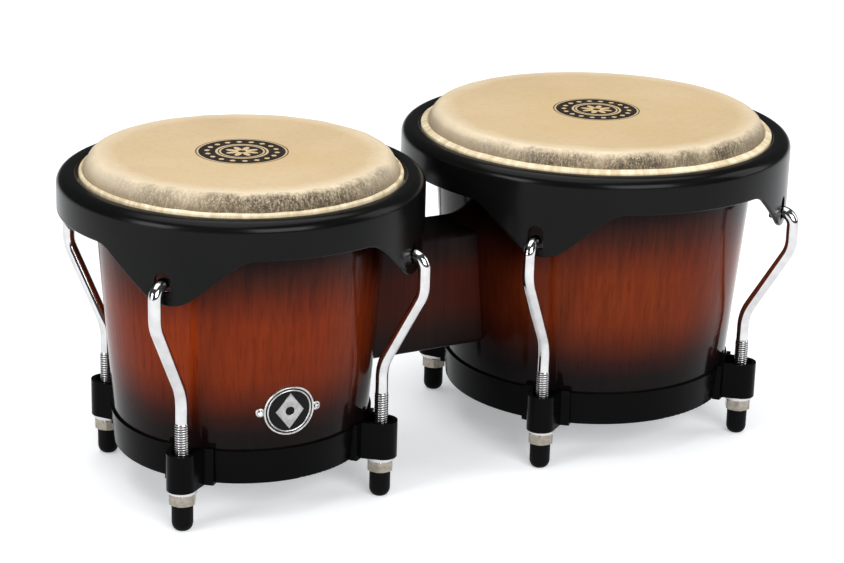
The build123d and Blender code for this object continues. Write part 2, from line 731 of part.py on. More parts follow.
def make_badge_screws():
    """Two round-headed wood screws with cross recesses, each square to the shell."""
    face = macho.shell_radius(BADGE_Z)
    head_foot = face + BADGE_PLATE + BADGE_SCREW_HEAD_GAP
    with BuildPart() as screws:
        for angle in badge_screw_angles():
            with BuildSketch(tangent_plane(macho, angle, face - BADGE_SCREW_SHANK)):
                with Locations((0, BADGE_Z)):
                    Circle(BADGE_SCREW_RADIUS)
            extrude(amount=head_foot - face + BADGE_SCREW_SHANK)
            head_plane = tangent_plane(macho, angle, head_foot)
            with BuildSketch(head_plane):
                with Locations((0, BADGE_Z)):
                    Circle(BADGE_SCREW_HEAD_RADIUS)
            extrude(amount=BADGE_SCREW_HEAD_HEIGHT)
            outer_face = screws.faces().sort_by(Axis(head_plane.origin, head_plane.z_dir))[-1]
            fillet(outer_face.edges(), BADGE_SCREW_HEAD_ROUND)
            recess_foot = head_foot + BADGE_SCREW_HEAD_HEIGHT - BADGE_SCREW_CROSS_DEPTH
            with BuildSketch(tangent_plane(macho, angle, recess_foot)):
                with Locations((0, BADGE_Z)):
                    Rectangle(BADGE_SCREW_CROSS_LENGTH, BADGE_SCREW_CROSS_WIDTH)
                    Rectangle(BADGE_SCREW_CROSS_WIDTH, BADGE_SCREW_CROSS_LENGTH)
            extrude(amount=BADGE_SCREW_HEAD_HEIGHT, mode=Mode.SUBTRACT)
    save(screws.part, "badge_screws")


for drum in (macho, hembra):
    make_shell(drum)
    make_bottom_ring(drum)
    make_lug_washers(drum)
    for number, angle in enumerate(LUG_ANGLES, start=1):
        make_bracket(drum, angle, number)
        make_nut(drum, angle, number)
        make_rod(drum, angle, number)
        make_tip(drum, angle, number)
    make_rim(drum)
    make_head(drum)
    make_hoop_and_tuck(drum)
    make_saddle(drum)

make_centre_block()
make_block_bolt(BOLT_HEIGHTS[1], "block_bolt_upper")
make_block_bolt(BOLT_HEIGHTS[0], "block_bolt_lower")
make_block_bolt_washers()
make_block_bolt_nuts()
make_badge()
make_badge_screws()
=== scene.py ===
import math

import bmesh
import bpy
from mathutils import Matrix, Vector, noise


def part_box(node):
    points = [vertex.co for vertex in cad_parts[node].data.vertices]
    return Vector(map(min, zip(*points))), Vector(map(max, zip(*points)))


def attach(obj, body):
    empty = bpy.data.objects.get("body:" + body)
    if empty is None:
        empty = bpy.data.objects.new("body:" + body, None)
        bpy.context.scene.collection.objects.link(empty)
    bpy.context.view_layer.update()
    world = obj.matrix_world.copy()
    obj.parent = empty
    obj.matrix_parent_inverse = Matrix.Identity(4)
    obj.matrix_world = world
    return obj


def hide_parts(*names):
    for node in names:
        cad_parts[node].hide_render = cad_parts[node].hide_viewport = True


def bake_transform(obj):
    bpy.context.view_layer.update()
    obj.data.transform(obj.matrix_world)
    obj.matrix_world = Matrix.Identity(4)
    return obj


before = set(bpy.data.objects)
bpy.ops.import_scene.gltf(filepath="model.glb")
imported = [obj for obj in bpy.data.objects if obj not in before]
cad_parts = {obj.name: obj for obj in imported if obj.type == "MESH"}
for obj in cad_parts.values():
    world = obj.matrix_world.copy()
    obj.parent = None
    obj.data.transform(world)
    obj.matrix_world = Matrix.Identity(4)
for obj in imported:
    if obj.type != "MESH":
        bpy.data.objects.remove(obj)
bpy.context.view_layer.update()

# Bongo drums. The macho is the small drum on the left, the hembra the large one on the right.
# Lengths are in metres in the CAD model's frame; angles are in degrees about each drum's axis.

MM = 0.001
TAU = 2 * math.pi
DRUMS = ("macho", "hembra")
HARDWARE_TURN = -2
LUG_ANGLES = [HARDWARE_TURN + a for a in (-135, -45, 45, 135)]
FIXED = "drum_frame"
LUG_STAND_OFF = 12 * MM  # from the outside of a shell's foot to the rods
SHANK_RADIUS = 3.2 * MM
HOOK_MARGIN = 6.2 * MM  # the rods' upper runs outside the rim's face
HOOK_TURN = math.radians(-2.1)  # how far the hooks sit round the rim from the rods' feet


# ---------------------------------------------------------------- places read from the frame

class Drum:
    """Sizes and places of one drum, read from its CAD nodes."""

    def __init__(self, name):
        self.name = name
        self.tuner = f"{name}_tuner"
        low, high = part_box(f"{name}_shell")
        self.x = (low.x + high.x) / 2
        self.top_radius = (high.x - low.x) / 2
        self.shell_foot_z = low.z
        self.shell_top_z = high.z
        rim_low, rim_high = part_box(f"{name}_rim")
        self.rim_radius = (rim_high.x - rim_low.x) / 2
        self.rim_top_z = rim_high.z
        self.ear_tip_z = rim_low.z
        self.head_top_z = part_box(f"{name}_head")[1].z
        tip_low, tip_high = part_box(f"{name}_rubber_tip_1")
        tip_x = (tip_low.x + tip_high.x) / 2 - self.x
        tip_y = (tip_low.y + tip_high.y) / 2
        self.lug_radius = math.hypot(tip_x, tip_y)
        self.tip_radius = (tip_high.x - tip_low.x) / 2
        self.foot_radius = self.lug_radius - LUG_STAND_OFF
        self.hook_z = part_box(f"{name}_tuning_rod_1")[1].z - SHANK_RADIUS

    def shell_radius(self, z):
        rise = (z - self.shell_foot_z) / (self.shell_top_z - self.shell_foot_z)
        return self.foot_radius + rise * (self.top_radius - self.foot_radius)

    def lug(self, number):
        a = math.radians(LUG_ANGLES[number - 1])
        return Vector((self.x + self.lug_radius * math.cos(a), self.lug_radius * math.sin(a), 0))

    def crank(self, number):
        """From a rod's foot to under its hook, level."""
        a = math.radians(LUG_ANGLES[number - 1]) + HOOK_TURN
        reach = self.rim_radius + HOOK_MARGIN
        return Vector((self.x + reach * math.cos(a), reach * math.sin(a), 0)) - self.lug(number)


drums = [Drum(name) for name in DRUMS]
macho, hembra = drums
badge_low, badge_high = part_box("badge_enamel")
BADGE_Z = (badge_low.z + badge_high.z) / 2


# ---------------------------------------------------------------- materials

class Paint:
    """A Principled material and short calls that add nodes to it."""

    def __init__(self, name, roughness=0.5, metallic=0.0, specular=0.5):
        self.material = bpy.data.materials.new(name)
        self.material.use_nodes = True
        self.nodes = self.material.node_tree.nodes
        self.links = self.material.node_tree.links
        self.shader = self.nodes["Principled BSDF"]
        self.shader.inputs["Roughness"].default_value = roughness
        self.shader.inputs["Metallic"].default_value = metallic
        self.shader.inputs["Specular IOR Level"].default_value = specular
        self.place = self.nodes.new("ShaderNodeTexCoord").outputs["Object"]

    def node(self, kind, inputs=(), **settings):
        made = self.nodes.new(kind)
        for key, value in settings.items():
            setattr(made, key, value)
        for key, value in dict(inputs).items():
            self.put(value, made.inputs[key])
        return made

    def put(self, value, socket):
        if isinstance(value, bpy.types.NodeSocket):
            self.links.new(value, socket)
        elif isinstance(value, tuple) and socket.type == "RGBA":
            socket.default_value = (*value[:3], 1)
        else:
            socket.default_value = value

    def math(self, operation, a, b=0.0, c=0.0, clamp=False):
        made = self.node("ShaderNodeMath", {0: a, 1: b, 2: c}, operation=operation, use_clamp=clamp)
        return made.outputs[0]

    def stretched(self, scale, offset=(0, 0, 0)):
        made = self.node("ShaderNodeMapping", {"Vector": self.place, "Scale": scale, "Location": offset})
        return made.outputs[0]

    def noise(self, scale, detail=3.0, roughness=0.5, vector=None):
        vector = self.place if vector is None else vector
        inputs = {"Vector": vector, "Scale": scale, "Detail": detail, "Roughness": roughness}
        return self.node("ShaderNodeTexNoise", inputs).outputs["Fac"]

    def fit(self, value, low, high, to_low=0.0, to_high=1.0):
        """Maps low..high to to_low..to_high and holds it between them."""
        inputs = {"Value": value, "From Min": low, "From Max": high, "To Min": to_low, "To Max": to_high}
        return self.node("ShaderNodeMapRange", inputs).outputs[0]

    def ramp(self, value, stops):
        made = self.node("ShaderNodeValToRGB", {"Fac": value})
        bar = made.color_ramp
        while len(bar.elements) < len(stops):
            bar.elements.new(0.5)
        for element, (position, colour) in zip(bar.elements, stops):
            element.position = position
            element.color = (*colour, 1)
        return made.outputs[0]

    def mix(self, amount, a, b, kind="MIX"):
        made = self.nodes.new("ShaderNodeMix")
        made.data_type = "RGBA"
        made.blend_type = kind
        self.put(amount, made.inputs["Factor"])
        self.put(a, made.inputs["A"])
        self.put(b, made.inputs["B"])
        return made.outputs["Result"]

    def height(self):
        return self.node("ShaderNodeSeparateXYZ", {"Vector": self.place}).outputs["Z"]

    def bump(self, height, strength, distance):
        inputs = {"Height": height, "Strength": strength, "Distance": distance}
        normal = self.node("ShaderNodeBump", inputs).outputs[0]
        self.links.new(normal, self.shader.inputs["Normal"])

    def colour(self, value):
        self.put(value, self.shader.inputs["Base Color"])

    def roughness(self, value):
        self.put(value, self.shader.inputs["Roughness"])

    def coat(self, weight, roughness, ior=1.5):
        self.shader.inputs["Coat Weight"].default_value = weight
        self.shader.inputs["Coat Roughness"].default_value = roughness
        self.shader.inputs["Coat IOR"].default_value = ior


BURST_BLACK = (0.005, 0.004, 0.004)
BURST_AMBER = (0.246, 0.033, 0.0055)
BLOCK_X = -20 * MM  # the middle of the centre block


def sunburst(name, height_stops, gloss, joint_painted_shade):
    """Lacquered wood that fades to black along its grain.

    height_stops are (height in metres, colour); the joint flag darkens the wood on both sides of the centre block as
    painted shade, where the drums shade each other.
    """
    paint = Paint(name, roughness=0.45, specular=0.0)
    broad = paint.noise(1, detail=3, vector=paint.stretched((50, 50, 3)))
    warmth = paint.noise(1, detail=2, vector=paint.stretched((26, 26, 5), (0.7, 0.2, 0)))
    fine = paint.noise(1, detail=4, roughness=0.6, vector=paint.stretched((420, 420, 11)))
    pores = paint.noise(1, detail=2, vector=paint.stretched((1000, 1000, 28), (0.3, 0.1, 0)))

    low, high = height_stops[0][0], height_stops[-1][0]
    wander = paint.fit(paint.noise(9, detail=1), 0, 1, -5 * MM, 5 * MM)
    feather = paint.fit(fine, 0.3, 0.7, -1.3 * MM, 1.3 * MM)
    level = paint.math("ADD", paint.height(), paint.math("ADD", wander, feather))
    burst = paint.ramp(
        paint.fit(level, low, high),
        [((z - low) / (high - low), colour) for z, colour in height_stops],
    )
    warmed = paint.mix(paint.fit(warmth, 0.46, 0.66, 0.0, 0.26), burst, (1.0, 0.96, 0.62), "SOFT_LIGHT")
    banded = paint.mix(paint.fit(broad, 0.36, 0.64, 0.0, 0.5), warmed, (0.62, 0.50, 0.46), "SOFT_LIGHT")
    grained = paint.mix(paint.fit(fine, 0.42, 0.62, 0.0, 0.36), banded, (0.50, 0.36, 0.34), "MULTIPLY")
    pored = paint.mix(paint.fit(pores, 0.56, 0.70, 0.0, 0.40), grained, (0.42, 0.30, 0.28), "MULTIPLY")
    # Painted shade: the wood darkens towards the centre block, where the two drums shade each other.
    if joint_painted_shade:
        sideways = paint.node("ShaderNodeSeparateXYZ", {"Vector": paint.place}).outputs["X"]
        from_joint = paint.math("ABSOLUTE", paint.math("SUBTRACT", sideways, BLOCK_X))
        pored = paint.mix(paint.fit(from_joint, 36 * MM, 66 * MM, 0.72, 0.0), pored, BURST_BLACK)
    paint.colour(pored)
    paint.roughness(paint.fit(fine, 0.3, 0.7, 0.42, 0.5))
    paint.coat(1.0, gloss, ior=1.16)
    return paint.material


def shell_wood(drum, tint, foot_rise):
    """A shell's burst; tint multiplies its colours, and foot_rise lifts the dark band at its foot."""
    stops = [
        (0.036 + foot_rise, BURST_BLACK),
        (0.047 + foot_rise, (0.009, 0.005, 0.005)),
        (0.056 + foot_rise, (0.036, 0.008, 0.005)),
        (0.066 + foot_rise, (0.118, 0.018, 0.005)),
        (0.077 + foot_rise, (0.215, 0.029, 0.0055)),
        (0.090, BURST_AMBER),
        (0.104, BURST_AMBER),
        (0.116, (0.165, 0.024, 0.007)),
        (0.126, (0.082, 0.017, 0.008)),
        (0.137, (0.033, 0.010, 0.008)),
        (0.156, BURST_BLACK),
    ]
    tinted = [(z, tuple(share * part for share, part in zip(tint, colour))) for z, colour in stops]
    return sunburst(f"{drum.name}_shell_wood", tinted, gloss=0.12, joint_painted_shade=True)


def block_wood():
    """The block's burst is darker, with black along its long edges."""
    return sunburst("block_wood", [
        (0.056, BURST_BLACK),
        (0.068, (0.015, 0.007, 0.006)),
        (0.082, (0.045, 0.009, 0.005)),
        (0.098, (0.050, 0.009, 0.005)),
        (0.110, (0.018, 0.008, 0.007)),
        (0.121, BURST_BLACK),
    ], gloss=0.3, joint_painted_shade=False)


def black_coat(name, ior, low, high):
    """Satin powder coat with fine orange peel; low and high are its grey levels."""
    paint = Paint(name, roughness=0.21)
    paint.shader.inputs["IOR"].default_value = ior
    peel = paint.noise(900, detail=2)
    cloud = paint.noise(24, detail=3)
    paint.colour(paint.ramp(cloud, [(0.3, (low, low, low)), (0.7, (high, high, high))]))
    paint.roughness(paint.fit(cloud, 0.3, 0.7, 0.18, 0.24))
    paint.bump(peel, 0.05, 0.0002)
    return paint.material


def chrome():
    paint = Paint("chrome", roughness=0.08, metallic=1.0)
    haze = paint.noise(160, detail=4)
    paint.colour(paint.ramp(haze, [(0.35, (0.52, 0.515, 0.515)), (0.65, (0.60, 0.595, 0.595))]))
    paint.roughness(paint.fit(haze, 0.3, 0.7, 0.06, 0.13))
    return paint.material


def satin_chrome(name, dark, light):
    paint = Paint(name, roughness=0.34, metallic=1.0)
    haze = paint.noise(400, detail=4)
    paint.colour(paint.ramp(haze, [(0.35, dark), (0.65, light)]))
    paint.roughness(paint.fit(haze, 0.3, 0.7, 0.28, 0.40))
    return paint.material


def nickel():
    paint = Paint("nickel", roughness=0.16, metallic=1.0)
    cloud = paint.noise(420, detail=4)
    paint.colour(paint.ramp(cloud, [(0.35, (0.26, 0.23, 0.185)), (0.65, (0.36, 0.33, 0.28))]))
    paint.roughness(paint.fit(cloud, 0.3, 0.7, 0.12, 0.22))
    return paint.material


def zinc():
    paint = Paint("zinc", roughness=0.38, metallic=1.0)
    cloud = paint.noise(300, detail=4)
    paint.colour(paint.ramp(cloud, [(0.35, (0.42, 0.43, 0.45)), (0.65, (0.60, 0.60, 0.61))]))
    paint.roughness(paint.fit(cloud, 0.3, 0.7, 0.3, 0.46))
    return paint.material


def rubber():
    paint = Paint("rubber", roughness=0.5, specular=0.06)
    speck = paint.noise(1400, detail=2)
    paint.colour(paint.ramp(speck, [(0.35, (0.0020, 0.0020, 0.0020)), (0.65, (0.0034, 0.0034, 0.0035))]))
    paint.bump(speck, 0.1, 0.0002)
    return paint.material


def enamel():
    paint = Paint("badge_enamel", roughness=0.22)
    paint.shader.inputs["IOR"].default_value = 1.2
    cloud = paint.noise(500, detail=2)
    paint.colour(paint.ramp(cloud, [(0.3, (0.0042, 0.0042, 0.0045)), (0.7, (0.0060, 0.0060, 0.0064))]))
    return paint.material


def grime_and_painted_shade():
    """Dull dark metal: grime and painted shade in the threads' grooves, and painted shade on the hooks' ends behind
    the rims.
    """
    paint = Paint("grime_and_shade_metal", roughness=0.5, metallic=0.7)
    cloud = paint.noise(700, detail=3)
    paint.colour(paint.ramp(cloud, [(0.35, (0.045, 0.043, 0.042)), (0.65, (0.10, 0.098, 0.095))]))
    return paint.material


PRINT_INK = (0.016, 0.012, 0.010)


def medallion(paint, radius, turn):
    """Mask of a printed rosette: a dark disc with eight pale petals, and a band with a row of pale dots."""
    soft = 0.15 * MM

    def ring(inner, outer):
        rise = paint.fit(radius, inner * MM - soft, inner * MM + soft)
        fall = paint.fit(radius, outer * MM - soft, outer * MM + soft, 1.0, 0.0)
        return paint.math("MULTIPLY", rise, fall)

    petals = paint.math("ABSOLUTE", paint.math("COSINE", paint.math("MULTIPLY", turn, 4.0)))
    reach = paint.math("MULTIPLY_ADD", petals, 5.6 * MM, 3.0 * MM)
    petal = paint.fit(paint.math("SUBTRACT", reach, radius), -soft, soft)
    petal = paint.math("MULTIPLY", petal, ring(2.0, 9.5))
    disc = paint.math("SUBTRACT", ring(-1.0, 10.6), petal, clamp=True)

    row = paint.math("ABSOLUTE", paint.math("SINE", paint.math("MULTIPLY", turn, 9.0)))
    off_centre = paint.math("ABSOLUTE", paint.math("SUBTRACT", radius, 17.6 * MM))
    dot = paint.math("SUBTRACT", paint.math("MULTIPLY", row, 4.4 * MM), off_centre)
    band = paint.math("SUBTRACT", ring(13.4, 21.9), paint.fit(dot, 2.9 * MM, 3.1 * MM), clamp=True)

    total = paint.math("MAXIMUM", disc, band)
    for inner, outer in ((11.5, 12.2), (22.8, 23.4)):
        total = paint.math("MAXIMUM", total, ring(inner, outer))
    return total


def plain_hide(paint, speck):
    """Clouded cream hide with soft stains and fine specks."""
    cloud = paint.noise(14, detail=5, roughness=0.6)
    hide = paint.ramp(cloud, [
        (0.3, (0.575, 0.43, 0.255)),
        (0.5, (0.62, 0.47, 0.285)),
        (0.72, (0.66, 0.515, 0.325)),
    ])
    stain = paint.noise(7, detail=3, roughness=0.55, vector=paint.stretched((1, 1.6, 1), (0.4, 0.1, 0)))
    hide = paint.mix(paint.fit(stain, 0.42, 0.7, 0.0, 0.6), hide, (0.60, 0.43, 0.215))
    return paint.mix(paint.fit(speck, 0.48, 0.75, 0.0, 0.22), hide, (0.42, 0.32, 0.20))


def hair_cover(paint, fringe, facing):
    """How thick the hair is: in patches along the fringe, and thinnest where facing is low."""
    patch = paint.fit(paint.noise(30, detail=2), 0.34, 0.6, 0.62, 1.0)
    return paint.math("MULTIPLY", fringe, paint.math("MULTIPLY", patch, paint.fit(facing, 0.1, 0.75, 0.35, 1.0)))


def hair_colour_and_sheen(paint, tangle, facing):
    """Grey-brown hair, paler where facing is low; that paleness is a painted sheen on the hairs seen side-on."""
    hairs = paint.ramp(tangle, [
        (0.40, (0.055, 0.040, 0.024)),
        (0.5, (0.17, 0.132, 0.083)),
        (0.60, (0.50, 0.42, 0.30)),
    ])
    return paint.mix(paint.fit(facing, 0.35, 0.85, 0.55, 0.0), hairs, (0.60, 0.53, 0.42))


def rawhide(drum, tuck_from):
    """Cream hide with a bristly grey-brown shoulder and a printed rosette at its centre.

    The hair is thickest at the drum's front; tuck_from is the radius where the tucked edge starts.
    """
    paint = Paint(f"{drum.name}_rawhide", roughness=0.5, specular=0.2)
    centred = paint.stretched((1, 1, 1), (-drum.x, 0, 0))
    parts = paint.node("ShaderNodeSeparateXYZ", {"Vector": centred})
    x, y, z = parts.outputs["X"], parts.outputs["Y"], parts.outputs["Z"]
    radius = paint.math("SQRT", paint.math("MULTIPLY_ADD", x, x, paint.math("MULTIPLY", y, y)))
    turn = paint.math("ARCTAN2", y, x)
    round_x, round_y = paint.math("DIVIDE", x, radius), paint.math("DIVIDE", y, radius)
    down_slope = paint.math("SUBTRACT", radius, z)

    def hairs_noise(across, along, detail, roughness):
        """Noise that runs down the slope of the shoulder."""
        inputs = {
            "X": paint.math("MULTIPLY", round_x, across * drum.top_radius),
            "Y": paint.math("MULTIPLY", round_y, across * drum.top_radius),
            "Z": paint.math("MULTIPLY", down_slope, along),
        }
        vector = paint.node("ShaderNodeCombineXYZ", inputs).outputs[0]
        return paint.noise(1, detail=detail, roughness=roughness, vector=vector)

    speck = paint.noise(300, detail=4, roughness=0.7)
    wander = paint.fit(paint.noise(60, detail=3), 0.3, 0.7, -1.6 * MM, 1.6 * MM)
    ragged = paint.fit(paint.noise(520, detail=4, roughness=0.7), 0.3, 0.7, -1.4 * MM, 1.4 * MM)
    strayed = paint.math("ADD", radius, paint.math("ADD", wander, ragged))
    from_shoulder = paint.math("SUBTRACT", strayed, drum.top_radius - 5.0 * MM)
    fringe = paint.fit(from_shoulder, 1.3 * MM, 5.6 * MM)
    pale = paint.fit(from_shoulder, -8.0 * MM, 1.5 * MM)
    facing = paint.math("MULTIPLY_ADD", round_x, -0.20, paint.math("MULTIPLY", round_y, -0.98))
    bristle = paint.noise(1300, detail=3, roughness=0.8)
    strands = hairs_noise(900, 260, 4, 0.75)
    tangle = paint.math("MULTIPLY_ADD", strands, 0.55, paint.math("MULTIPLY", bristle, 0.45))

    hide = paint.mix(paint.math("MULTIPLY", pale, 0.55), plain_hide(paint, speck), (0.80, 0.70, 0.53))
    hide = paint.mix(hair_cover(paint, fringe, facing), hide, hair_colour_and_sheen(paint, tangle, facing))
    # Painted shade: the hide darkens just above the tucked edge, in the crease beside the rim.
    crease_painted_shade = paint.fit(radius, tuck_from - 2.6 * MM, tuck_from - 0.3 * MM, 0.0, 0.6)
    hide = paint.mix(crease_painted_shade, hide, (0.30, 0.235, 0.155), "MULTIPLY")

    pleats = hairs_noise(240, 40, 3, 0.6)
    tucked = paint.ramp(pleats, [
        (0.3, (0.54, 0.44, 0.26)),
        (0.48, (0.70, 0.58, 0.38)),
        (0.68, (0.86, 0.76, 0.57)),
    ])
    hide = paint.mix(paint.fit(radius, tuck_from - 0.2 * MM, tuck_from + 0.2 * MM), hide, tucked)

    ink = medallion(paint, radius, turn)
    worn = paint.fit(paint.noise(900, detail=3), 0.3, 0.42, 0.8, 1.0)
    paint.colour(paint.mix(paint.math("MULTIPLY", ink, worn), hide, PRINT_INK))
    paint.roughness(paint.fit(speck, 0.3, 0.7, 0.44, 0.6))
    ruffled = paint.math("MULTIPLY_ADD", tangle, fringe, paint.math("MULTIPLY", speck, 0.3))
    paint.bump(ruffled, 0.35, 0.0006)
    return paint.material


shell_woods = {
    "macho": shell_wood(macho, tint=(1, 1, 1), foot_rise=0),
    "hembra": shell_wood(hembra, tint=(0.82, 0.95, 1.15), foot_rise=2.5 * MM),
}
black = black_coat("black_rim_coat", 1.2, 0.0034, 0.0054)
# The rings and brackets get a darker copy of the black coat: painted shade for the low parts near the floor.
black_coat_painted_shade = black_coat("black_ring_coat", 1.12, 0.0018, 0.0030)
grime_and_shade_metal = grime_and_painted_shade()
bright = chrome()
warm_nickel = nickel()
plain_zinc = zinc()
tip_rubber = rubber()
badge_black = enamel()


# ---------------------------------------------------------------- mesh helpers

def mesh_object(name, points, faces, material, sharp=35):
    """A smooth-shaded mesh object whose edges steeper than sharp degrees stay crisp."""
    mesh = bpy.data.meshes.new(name)
    mesh.from_pydata([tuple(p) for p in points], [], faces)
    shape = bmesh.new()
    shape.from_mesh(mesh)
    bmesh.ops.remove_doubles(shape, verts=shape.verts, dist=1e-7)
    bmesh.ops.recalc_face_normals(shape, faces=shape.faces)
    shape.to_mesh(mesh)
    shape.free()
    mesh.shade_smooth()
    mesh.set_sharp_from_angle(angle=math.radians(sharp))
    made = bpy.data.objects.new(name, mesh)
    bpy.context.scene.collection.objects.link(made)
    mesh.materials.append(material)
    return made


def grid(rows, close_rows=True, close_columns=False, first=0):
    """Faces between rows of equally many points, numbered from first."""
    count, width = len(rows), len(rows[0])
    faces = []
    for i in range(count if close_rows else count - 1):
        for j in range(width if close_columns else width - 1):
            here, below = i * width, (i + 1) % count * width
            faces.append(tuple(first + k for k in (
                here + j, here + (j + 1) % width, below + (j + 1) % width, below + j)))
    return [point for row in rows for point in row], faces


def rounded(corners, radii, steps=8, closed=False):
    """The flat outline through the corners, with an arc of the given radius at each (0 keeps it sharp)."""
    outline = []
    for i, (corner, radius) in enumerate(zip(corners, radii)):
        here = Vector(corner)
        if radius == 0 or (not closed and i in (0, len(corners) - 1)):
            outline.append(here)
            continue
        back = (Vector(corners[i - 1]) - here).normalized()
        ahead = (Vector(corners[(i + 1) % len(corners)]) - here).normalized()
        half = back.angle(ahead) / 2
        centre = here + (back + ahead).normalized() * radius / math.sin(half)
        start = here + back * radius / math.tan(half) - centre
        side = 1 if back.x * ahead.y - back.y * ahead.x < 0 else -1
        for step in range(steps + 1):
            turn = side * (math.pi - 2 * half) * step / steps
            c, s = math.cos(turn), math.sin(turn)
            outline.append(centre + Vector((start.x * c - start.y * s, start.x * s + start.y * c)))
    return outline


def lathe(name, outline, centre, material, segments=192, sharp=35, wobble=None):
    """A closed outline of (radius, height) turned about the upright axis through centre."""
    rows = []
    for i in range(segments):
        a = TAU * i / segments
        row = []
        for radius, z in outline:
            if wobble:
                radius, z = wobble(a, radius, z)
            row.append((centre[0] + radius * math.cos(a), centre[1] + radius * math.sin(a), z))
        rows.append(row)
    points, faces = grid(rows, close_columns=True)
    return mesh_object(name, points, faces, material, sharp)


def install(piece, body, nodes):
    """The piece moves with the body and stands for the CAD nodes, which it hides."""
    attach(piece, body)
    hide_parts(*nodes)


def paint_node(node, material, bevel=0.0):
    """Gives a CAD node that stays as it is its material, and soft edges."""
    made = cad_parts[node]
    made.data.materials.clear()
    made.data.materials.append(material)
    if bevel:
        soft = made.modifiers.new("soft_edges", "BEVEL")
        soft.width = bevel
        soft.segments = 3
        soft.limit_method = "ANGLE"
        soft.angle_limit = math.radians(40)
        soft.harden_normals = False


# ---------------------------------------------------------------- heads

# How far outside the bearing edge the shoulder ends, and the tucked edge after it
TUCK_REACH = {"macho": (3.7 * MM, 5.5 * MM), "hembra": (2.4 * MM, 6.3 * MM)}


def make_skin(drum):
    """Skin, shoulder and the edge tucked round the flesh hoop, as the one piece of hide that it is."""
    edge, top = drum.top_radius, drum.head_top_z
    hoop_low, hoop_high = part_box(f"{drum.name}_flesh_hoop")
    hoop_outer = (hoop_high.x - hoop_low.x) / 2
    crease, tuck = (edge + reach for reach in TUCK_REACH[drum.name])
    corners = [
        (0, top),
        (edge - 0.5 * MM, top),
        (crease - 1.0 * MM, top - 6.2 * MM),
        (crease, top - 8.9 * MM),
        (crease + 0.5 * MM, top - 7.3 * MM),
        (tuck, top - 8.7 * MM),
        (tuck, hoop_high.z + 0.9 * MM),
        (hoop_outer + 0.9 * MM, hoop_high.z + 0.9 * MM),
        (hoop_outer + 0.9 * MM, hoop_low.z - 0.9 * MM),
        (edge + 1.4 * MM, hoop_low.z - 0.9 * MM),
        (edge + 1.4 * MM, top - 6.8 * MM),
        (edge - 1.4 * MM, top - 1.0 * MM),
        (0, top - 1.0 * MM),
    ]
    radii = [MM * r for r in (0, 5.5, 9, 0.25, 0.4, 0.7, 0.8, 0.9, 0.9, 0.5, 3, 3, 0)]
    outline = rounded(corners, radii, steps=7)
    flat = [Vector((edge * share, top)) for share in (0.001, 0.15, 0.3, 0.45, 0.6, 0.72, 0.82, 0.88)]
    outline = [outline[0]] + flat + outline[1:]

    def uneven(a, radius, z):
        """Hide is never quite round: the shoulder and the tucked edge wander a little."""
        spot = Vector((math.cos(a) * 3, math.sin(a) * 3, z * 60 + drum.x * 50))
        near = max(0.0, min(1.0, (radius - edge + 8 * MM) / (8 * MM)))
        drop = near * abs(noise.noise(spot * 1.7)) * 0.5 * MM
        if radius > crease + 0.9 * MM:
            return radius, z - drop if z > hoop_high.z + 2 * MM else z
        sway = near * (0.22 * MM * noise.noise(spot) + 0.10 * MM * noise.noise(spot * 5))
        return radius + sway, z - drop

    skin = lathe(
        f"{drum.name}_skin", outline, (drum.x, 0), rawhide(drum, crease), segments=320, sharp=50, wobble=uneven
    )
    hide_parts(f"{drum.name}_head", f"{drum.name}_head_tuck")
    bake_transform(skin)


# ---------------------------------------------------------------- tuning gear

THREAD_PITCH = 1.27 * MM
THREAD_RADIUS = 3.57 * MM
THREAD_DEPTH = 0.76 * MM
THREAD_ROWS_PER_TURN = 10
THREAD_TOP_BELOW_HOOK = 75.5 * MM
CRANK_START = 14.5 * MM  # above the top of the thread
CRANK_END = 56 * MM
HOOK_REACH = 10.4 * MM
HOOK_DROP = 3.4 * MM


def sweep(route, radius, across, sides=28):
    """Rings of points round a flat route; across is the unit vector square to the route's plane."""
    rings = []
    for i, point in enumerate(route):
        before, after = route[max(i - 1, 0)], route[min(i + 1, len(route) - 1)]
        along = (after - before).normalized()
        out = across.cross(along)
        rings.append([
            point + radius[i] * (math.cos(TAU * k / sides) * out + math.sin(TAU * k / sides) * across)
            for k in range(sides)
        ])
    return rings


def rod_axes(drum, number):
    """A rod's foot, its directions outwards and across, and how far out its hook stands."""
    crank = drum.crank(number)
    out = crank.normalized()
    return drum.lug(number), out, Vector((-out.y, out.x, 0)), crank.length


def shank_rings(drum, number, thread_top):
    """Rings up the cranked shank and round the hook to its rounded end."""
    foot, out, across, upper = rod_axes(drum, number)
    hook_end = upper - HOOK_REACH
    corners = [
        (0, thread_top),
        (0, thread_top + CRANK_START),
        (upper, thread_top + CRANK_END),
        (upper, drum.hook_z),
        (hook_end, drum.hook_z),
        (hook_end, drum.hook_z - HOOK_DROP),
    ]
    flat = rounded(corners, [0, 26 * MM, 18 * MM, 6.3 * MM, 3.2 * MM, 0], steps=14)
    route = [foot + out * r + Vector((0, 0, z)) for r, z in flat]
    end = (route[-1] - route[-2]).normalized()
    route += [route[-1] + end * reach * MM for reach in (0.25, 0.4, 0.401)]
    widths = [SHANK_RADIUS] * (len(route) - 3) + [SHANK_RADIUS * 0.93, SHANK_RADIUS * 0.75, 0.0]
    rings = sweep(route, widths, across)
    if (rings[0][1] - rings[0][0]).dot(across) < 0:
        rings = [[ring[-k % len(ring)] for k in range(len(ring))] for ring in rings]
    return rings


